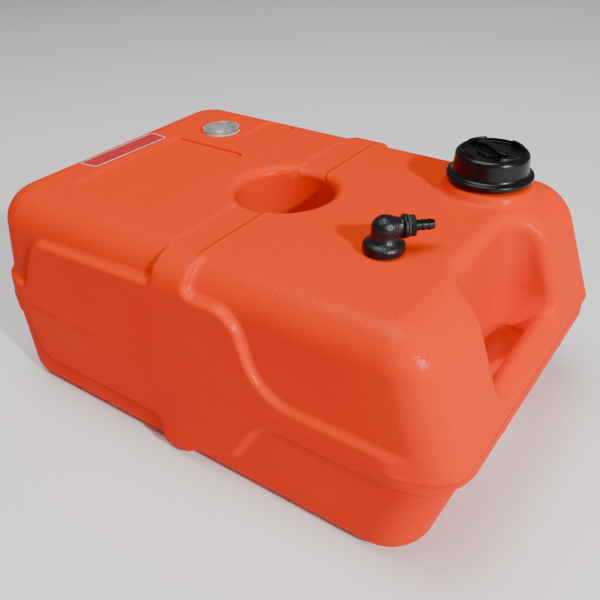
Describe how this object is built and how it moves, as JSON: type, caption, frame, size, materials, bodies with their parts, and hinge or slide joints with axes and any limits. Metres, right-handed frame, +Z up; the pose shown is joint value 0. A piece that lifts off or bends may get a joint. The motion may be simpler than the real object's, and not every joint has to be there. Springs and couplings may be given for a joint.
{
  "type": "portable outboard fuel tank",
  "caption": "Moulded portable fuel tank with screw filler cap and vent knob, swivelling hose outlet, float gauge, centre well and end hand grip.",
  "frame": {"origin": "middle of the base, in the plane the tank stands on", "axes": "+X towards the end with the hand grip, +Y towards the long side with the filler cap, +Z up"},
  "size_m": [0.5, 0.34, 0.2539],
  "materials": {
    "orange_shell": "blow-moulded orange polyethylene with a fine pebble grain",
    "black_plastic": "satin black moulded nylon",
    "black_rubber": "fuel-proof rubber",
    "pale_rubber": "pale natural seal rubber",
    "clear_plastic": "clear moulded plastic, density taken as glass",
    "silver_dial": "pale silvery dial disc",
    "white_plastic": "natural moulded plastic",
    "red_plastic": "red moulded plastic",
    "brass": "plain turned and drawn brass",
    "float_foam": "closed-cell float foam"
  },
  "bodies": {
    "root": {"tank_body": "orange_shell", "outlet_bush": "brass", "outlet_seal": "black_rubber", "pickup_tube": "white_plastic", "pickup_strainer": "white_plastic", "gauge_gasket": "pale_rubber", "gauge_lens": "clear_plastic", "gauge_housing": "white_plastic", "gauge_dial": "silver_dial", "gauge_guide_rod_far": "brass", "gauge_guide_rod_near": "brass", "gauge_foot": "white_plastic"},
    "cap_seal": {"cap_gasket": "black_rubber"},
    "cap_carrier": {"cap_liner": "white_plastic"},
    "cap": {"filler_cap": "black_plastic"},
    "vent": {"vent_knob": "black_plastic", "vent_seal": "black_rubber"},
    "outlet": {"outlet_elbow": "black_plastic", "stem_seal": "black_rubber", "spigot_seal": "black_rubber", "hose_barb": "black_plastic"},
    "float": {"gauge_float": "float_foam", "float_driver": "white_plastic"},
    "spindle": {"gauge_spindle": "brass", "gauge_pointer": "red_plastic"}
  },
  "joints": [
    {"name": "cap_lift_off", "type": "slide", "parent": "root", "child": "cap_seal", "axis": [0, 0, 1], "range_m": [0, 0.08]},
    {"name": "cap_rise", "type": "slide", "parent": "cap_seal", "child": "cap_carrier", "axis": [0, 0, 1], "range_m": [0, 0.009]},
    {"name": "cap_turn", "type": "hinge", "parent": "cap_carrier", "child": "cap", "pos_m": [0.152, 0.0955, 0.22], "axis": [0, 0, 1], "range_deg": [0, 810]},
    {"name": "vent_turn", "type": "hinge", "parent": "cap", "child": "vent", "pos_m": [0.152, 0.0955, 0.248], "axis": [0, 0, 1], "range_deg": [0, 90]},
    {"name": "outlet_swivel", "type": "hinge", "parent": "root", "child": "outlet", "pos_m": [0.1295, -0.0575, 0.214], "axis": [0, 0, 1], "continuous": true},
    {"name": "float_rise", "type": "slide", "parent": "root", "child": "float", "axis": [0, 0, 1], "range_m": [0, 0.15]},
    {"name": "spindle_turn", "type": "hinge", "parent": "root", "child": "spindle", "pos_m": [-0.152, 0.081, 0.1], "axis": [0, 0, 1], "range_deg": [0, 270]}
  ],
  "couplings": [
    {"joint": "cap_rise", "follows": "cap_turn", "m_per_rad": 0.00063662},
    {"joint": "spindle_turn", "follows": "float_rise", "rad_per_m": 30.442}
  ]
}
